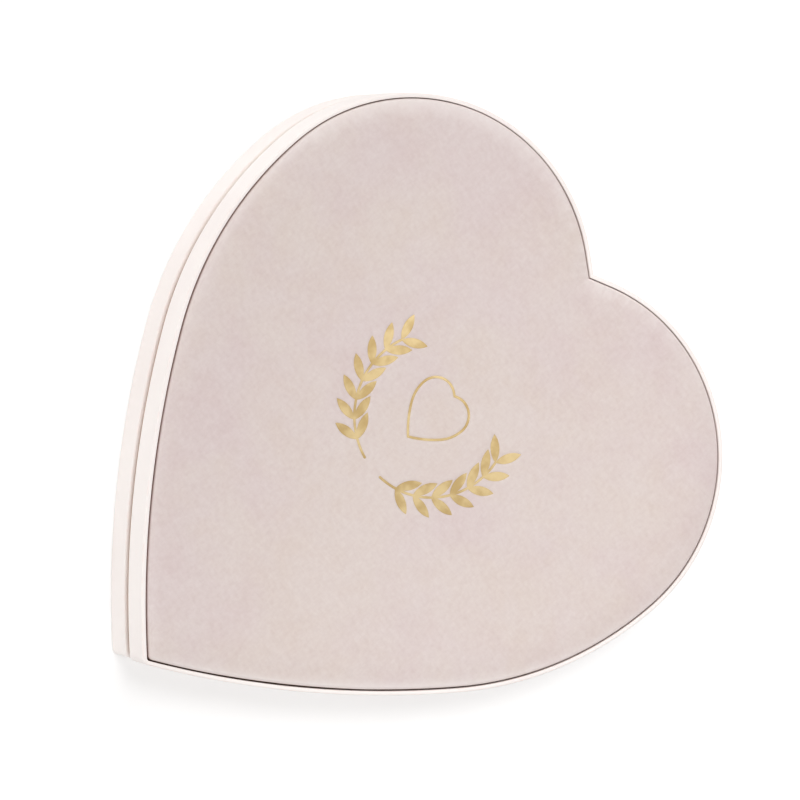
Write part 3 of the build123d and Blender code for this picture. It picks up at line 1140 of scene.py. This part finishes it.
def makeDrizzle(node, tree, form):
    low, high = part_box(node)
    middle = (low + high) / 2
    number = int(node.split("_")[1])
    drizzle = addObject("drizzle_" + str(number), bpy.data.meshes.new("drizzle"))
    values = {
        "Target": chocolates[node],
        "Centre": (middle.x, middle.y, high.z + form["dropFrom"]),
        "Turn": math.radians(form["turn"] + form["turnStep"] * number),
        "Finish": finishes["dark_chocolate"],
    }
    addTree(drizzle, tree, values)
    settle(drizzle)
    return finishPiece(drizzle, "base")


zigzag = makeZigzag(drizzleForm)
squares = [node for node in chocolates if node.endswith("square")]
reportStage("drizzle", [makeDrizzle(node, zigzag, drizzleForm) for node in squares])


# Stage: pale floor, soft light from the photo's top and left, soft boxes right and below, the photo's camera

stageForm = {
    "floorSize": 6.0,
    "floorDrop": 0.05 * mm,
    "floorColour": (250, 250, 250),
    "floorGlow": 0.19,
    "sky": 0.455,
    "lights": {
        "keyLamp": ("SUN", (-0.320, 0.060, 0.945), {"energy": 0.56, "angle": math.radians(14)}),
        "leftLamp": ("SUN", (-0.607, -0.786, 0.120), {"energy": 1.05, "angle": math.radians(30)}),
        "topLamp": ("SUN", (-0.740, 0.620, 0.259), {"energy": 0.87, "angle": math.radians(40)}),
        "rightBox": ("AREA", (0.055, 0.230, 0.40), {"energy": 0.38, "size": 0.25}),
        "lowBox": ("AREA", (0.165, -0.115, 0.30), {"energy": 0.18, "size": 0.20}),
    },
}
photoView = {
    "place": (-0.51003, -0.43904, 1.96022),
    "turn": (-3.007, -19.098, 51.371),
    "lens": 292.5,
    "sensor": 36.0,
    "clip": (0.05, 50.0),
}
white = (1.0, 1.0, 1.0, 1.0)


def makeFloor(form):
    far, level = form["floorSize"] / 2, -form["floorDrop"]
    corners = [(x * far, y * far, level) for x, y in ((-1, -1), (1, -1), (1, 1), (-1, 1))]
    mesh = bpy.data.meshes.new("floor")
    mesh.from_pydata(corners, [], [(0, 1, 2, 3)])
    constants = {"Roughness": 0.9, "Specular IOR Level": 0.0, "Emission Color": white}
    constants["Base Color"] = screenColour(*form["floorColour"])
    material, tree, shader = newMaterial("paleFloor", constants)
    seen = put(tree, "ShaderNodeLightPath")["Is Camera Ray"]
    wire(tree, shader, {"Emission Strength": times(tree, seen, form["floorGlow"])})
    addObject("floor", mesh, material)


def makeSky(strength):
    # soft light on the object, plain white where the camera, gloss or glass sees it
    world = bpy.data.worlds.new("studio")
    scene.world = world
    world.use_nodes = True
    tree = world.node_tree
    tree.nodes.clear()
    rays = put(tree, "ShaderNodeLightPath")
    seen = sumUp(tree, "MAXIMUM", rays["Is Camera Ray"], rays["Is Glossy Ray"])
    seen = sumUp(tree, "MAXIMUM", seen, rays["Is Transmission Ray"])
    levels = ({"Color": white, "Strength": level} for level in (strength, 1.0))
    soft, bright = (put(tree, "ShaderNodeBackground", level)[0] for level in levels)
    mix = put(tree, "ShaderNodeMixShader", {0: seen, 1: soft, 2: bright})
    put(tree, "ShaderNodeOutputWorld", {"Surface": mix[0]})


def hang(name, data, place):
    holder = bpy.data.objects.new(name, data)
    scene.collection.objects.link(holder)
    holder.location = place
    return holder


def makeLight(name, kind, place, settings):
    # aimed at the origin
    lamp = bpy.data.lights.new(name, kind)
    for setting, value in settings.items():
        setattr(lamp, setting, value)
    holder = hang(name, lamp, place)
    holder.rotation_euler = Vector(place).to_track_quat("Z", "Y").to_euler()


def makeCamera(view):
    camera = bpy.data.cameras.new("photoCamera")
    camera.lens, camera.sensor_width = view["lens"], view["sensor"]
    camera.clip_start, camera.clip_end = view["clip"]
    scene.camera = hang("photoCamera", camera, view["place"])
    scene.camera.rotation_euler = [math.radians(a) for a in view["turn"]]


makeFloor(stageForm)
makeSky(stageForm["sky"])
for lightName, light in stageForm["lights"].items():
    makeLight(lightName, *light)
makeCamera(photoView)
scene.view_settings.view_transform = "Standard"
print("stage: floor,", len(stageForm["lights"]), "lights and camera")
